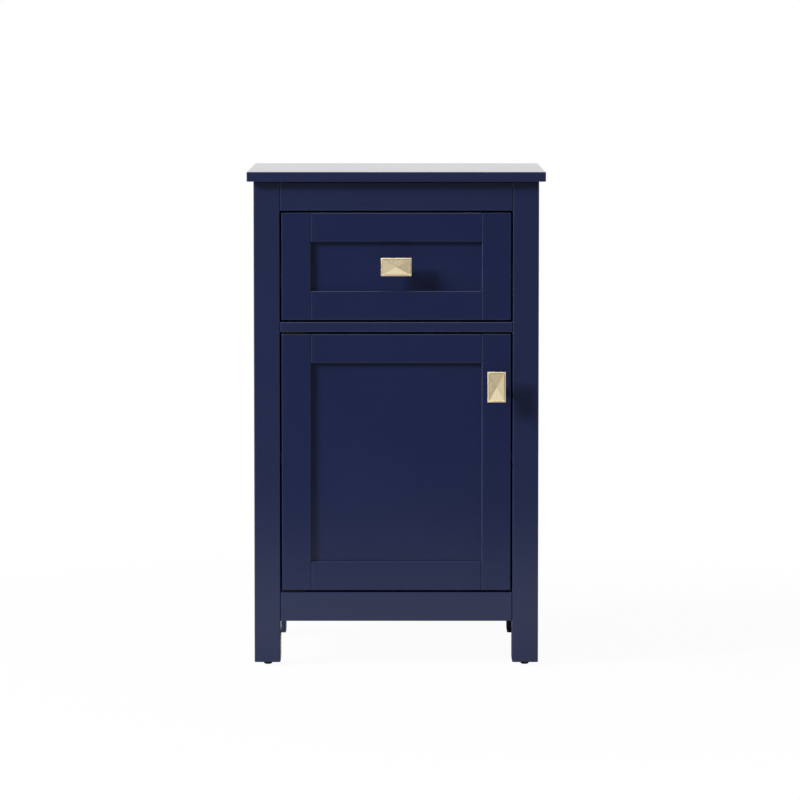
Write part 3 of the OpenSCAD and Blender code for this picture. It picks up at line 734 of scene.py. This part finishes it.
def slide_member(node, opens_towards, stop=0.0):
    """Extrudes a channel along Y inside the CAD member's box; the first stretch may be a stop of its own."""
    low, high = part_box(node)
    reach = high.x - low.x
    web = low.x if opens_towards > 0 else high.x
    middle = (low.z + high.z) / 2
    outline = channel_outline(reach, (high.z - low.z) / 2)

    def place(p):
        return (web + opens_towards * p.x, p.z, middle + p.y)

    def stretch(start, end):
        shape = Shape()
        shape.loft([[(u, v, y) for u, v in outline] for y in (start, end)], place=place)
        return shape

    mesh_piece(node + "_rolled", stretch(low.y + stop, high.y), ZINC, node)
    if stop:
        cap = stretch(low.y, low.y + stop)
        added_piece(node + "_front_stop", cap, PLASTIC, BODY_OF[node])


# The magnetic catch's two pole plates
POLE = (17.0 * MM, 1.3 * MM)
POLE_EASE = 0.25 * MM
POLE_PROUD = 0.15 * MM
POLE_LEVEL = 0.42
POLE_GAP = 5.2 * MM
POLE_DEPTH = 3.0 * MM


def catch_poles():
    low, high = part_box("magnetic_catch")
    middle_x = (low.x + high.x) / 2
    middle_z = low.z + (high.z - low.z) * POLE_LEVEL
    half_x, half_z = POLE[0] / 2, POLE[1] / 2
    shape = Shape()
    for side in (-1, 1):
        place = standing(middle_x, low.y - POLE_PROUD, middle_z + side * POLE_GAP / 2, BACKWARDS)
        shape.loft([rectangle(half_x - POLE_EASE, half_z - POLE_EASE, 0.0),
                    rectangle(half_x, half_z, POLE_EASE),
                    rectangle(half_x, half_z, POLE_DEPTH)], place=place)
    added_piece("catch_poles", shape, ZINC, "cabinet")


# The shelf's front edge is banded and painted like the case. The dark band is also painted shade:
# it keeps the shelf edge from showing lit through the gaps beside the door. The outline is
# (pulled in, height), as shares of the band's thickness.
BAND = 0.5 * MM
BAND_OUTLINE = ((0.0, 0.0), (0.0, 0.4), (0.25, 0.8), (0.6, 1.0))


# Painted shade: a dark band over the shelf's front edge, so the door gaps read dark.
def shelf_band_as_gap_shade():
    low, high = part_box("shelf")
    half_x, half_z = (high.x - low.x) / 2, (high.z - low.z) / 2
    rings = [rectangle(half_x - BAND * pull, half_z - BAND * pull, BAND * height)
             for pull, height in BAND_OUTLINE]
    shape = Shape()
    shape.loft(rings, place=standing((low.x + high.x) / 2, low.y, (low.z + high.z) / 2, FORWARDS))
    added_piece("shelf_edge_band", shape, NAVY, "cabinet")


# The paint that half fills the joints between the rails and stiles of the two fronts.
# Its outline is given as (across the joint to the right, depth below the face), in mm.
JOINT_FILL = ((-0.5, 1.15), (1.1, 0.15), (2.0, 0.05), (2.0, 1.2), (-0.5, 1.7))
JOINT_END = 0.6 * MM
FRONTS = ("drawer_front", "door")


def joint_fills(front):
    for level in ("top", "bottom"):
        rail = f"{front}_{level}_rail"
        low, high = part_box(rail)
        for side in ("left", "right"):
            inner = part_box(f"{front}_{side}_stile")[1 if side == "left" else 0].x
            shape = Shape()
            rings = [[(inner + u * MM, low.y + depth * MM, z) for u, depth in JOINT_FILL]
                     for z in (low.z + JOINT_END, high.z - JOINT_END)]
            shape.loft(rings)
            name = f"{front}_{side}_{level}_joint_paint"
            added_piece(name, shape, NAVY_FRONT, BODY_OF[rail])


KNOBS = {"drawer_knob": brushed_brass(X), "door_knob": brushed_brass(Z)}
WOOD_SCREWS = ("cabinet_screws", "door_screws", "drawer_screws")
MACHINE_SCREWS = ("door_knob_screw", "drawer_knob_screw")
SLIDES = [(side, member) for side in ("left", "right") for member in ("cabinet", "middle", "drawer")]
SLIDE_NODES = {f"{side}_slide_{member}_member" for side, member in SLIDES}

finish_cad_nodes({*KNOBS, *WOOD_SCREWS, *MACHINE_SCREWS, *SLIDE_NODES})
for knob_node, brass in KNOBS.items():
    knob(knob_node, brass)
for screw_node in WOOD_SCREWS:
    screws(screw_node)
for screw_node in MACHINE_SCREWS:
    screws(screw_node, machine=True)
for side, member in SLIDES:
    inward = 1 if side == "left" else -1
    slide_member(f"{side}_slide_{member}_member", -inward if member == "drawer" else inward,
                 STOP_LENGTH if member == "cabinet" else 0.0)
catch_poles()
shelf_band_as_gap_shade()
for front in FRONTS:
    joint_fills(front)


# ---- Floor, room and lights ----

def from_point(g, where, x, y):
    """Distance from a point on the floor."""
    across = g.math("SUBTRACT", where[X], x)
    back = g.math("SUBTRACT", where[Y], y)
    return g.math("SQRT", g.math("ADD", g.math("MULTIPLY", across, across), g.math("MULTIPLY", back, back)))


def make_floor():
    mesh = bpy.data.meshes.new("floor")
    rim = circle(FLOOR_RADIUS, 0.0, FLOOR_SIDES)
    mesh.from_pydata(rim, [], [list(range(len(rim)))])
    made, g = material("floor_white")
    where = g.parts(object_space(g))
    distance = from_point(g, where, 0.0, 0.0)
    camera_ray, mirror_ray = ray_kinds(g)
    clear_of_painted_shade = 1.0
    # Painted shade: the glow that reflections see is taken away in discs where the cabinet shades the floor.
    for centre, (dark, clear) in SHADED_FLOOR:
        away = g.spread(from_point(g, where, *centre), dark, clear, smooth=True)
        clear_of_painted_shade = g.math("MINIMUM", clear_of_painted_shade, away)
    seen = g.math("ADD", camera_ray, g.math("MULTIPLY", mirror_ray, clear_of_painted_shade), clamp=True)
    white = g.math("MULTIPLY", seen, g.spread(distance, *FLOOR_FADE, FLOOR_GLOW, 1.0, smooth=True))
    grain = g.noise(object_space(g), 30.0, 2.0)
    paper = g.add("ShaderNodeBsdfDiffuse", {"Color": g.mix(grain, *FLOOR_PAPER)})
    glow = g.add("ShaderNodeEmission", {"Color": colour(1.0, 1.0, 1.0), "Strength": 1.0})
    blend = g.add("ShaderNodeMixShader", {0: white, 1: paper.outputs[0], 2: glow.outputs[0]})
    g.tree.links.new(blend.outputs[0], g.add("ShaderNodeOutputMaterial").inputs["Surface"])
    mesh.materials.append(made)
    floor = bpy.data.objects.new("floor", mesh)
    bpy.context.scene.collection.objects.link(floor)


def make_room():
    """White to the camera; reflections see white behind and the curves in front; matt light is low."""
    world = bpy.data.worlds.new("studio")
    bpy.context.scene.world = world
    world.use_nodes = True
    g = Graph(world.node_tree)
    toward = g.parts(g.add("ShaderNodeTexCoord").outputs["Generated"])
    behind = g.spread(toward[Y], *ROOM_BEHIND, smooth=True)
    front = g.math("MAXIMUM", g.ramp(toward[X], ROOM_ACROSS), g.ramp(toward[Z], ROOM_UPWARD))
    band = g.math("MINIMUM", g.spread(toward[Z], *STRIP_LOW, smooth=True),
                  g.spread(toward[Z], *STRIP_HIGH, 1.0, 0.0, smooth=True))
    front = g.math("MAXIMUM", front, g.math("MULTIPLY", g.ramp(toward[X], EDGE_STRIP), band))
    mirrored = g.math("MAXIMUM", front, behind)
    camera_ray, mirror_ray = ray_kinds(g)
    strength = g.math("ADD", g.math("MULTIPLY", mirror_ray, mirrored), camera_ray)
    plain = g.math("SUBTRACT", 1.0, g.math("ADD", mirror_ray, camera_ray, clamp=True), clamp=True)
    fill = g.spread(toward[X], -1.0, 1.0, *ROOM_FILL)
    total = g.math("ADD", strength, g.math("MULTIPLY", plain, fill))
    background = g.add("ShaderNodeBackground", {"Color": colour(1.0, 1.0, 1.0), "Strength": total})
    g.tree.links.new(background.outputs[0], g.add("ShaderNodeOutputWorld").inputs["Surface"])


def soft_lamp(name, position, size, power):
    """A round softbox that faces the cabinet."""
    lamp = bpy.data.lights.new(name, "AREA")
    lamp.shape = "DISK"
    lamp.size = size
    lamp.energy = power
    holder = bpy.data.objects.new(name, lamp)
    holder.location = position
    holder.rotation_euler = (Vector(position) - LIGHT_AIM).to_track_quat("Z", "Y").to_euler()
    holder.visible_camera = False
    bpy.context.scene.collection.objects.link(holder)


def make_camera():
    lens = bpy.data.cameras.new("camera")
    lens.lens = LENS
    lens.sensor_width = SENSOR_WIDTH
    lens.clip_end = FARTHEST
    camera = bpy.data.objects.new("camera", lens)
    camera.location = CAMERA_AT
    camera.rotation_euler = (math.pi / 2 - CAMERA_DOWN, 0.0, 0.0)
    bpy.context.scene.collection.objects.link(camera)
    bpy.context.scene.camera = camera


make_floor()
make_room()
soft_lamp("key", LIGHT_AIM + KEY_FROM.normalized() * KEY_DISTANCE, KEY_SIZE, KEY_POWER)
soft_lamp("overhead", OVERHEAD_AT, OVERHEAD_SIZE, OVERHEAD_POWER)
make_camera()
bpy.context.scene.view_settings.view_transform = "Standard"

bpy.context.view_layer.update()
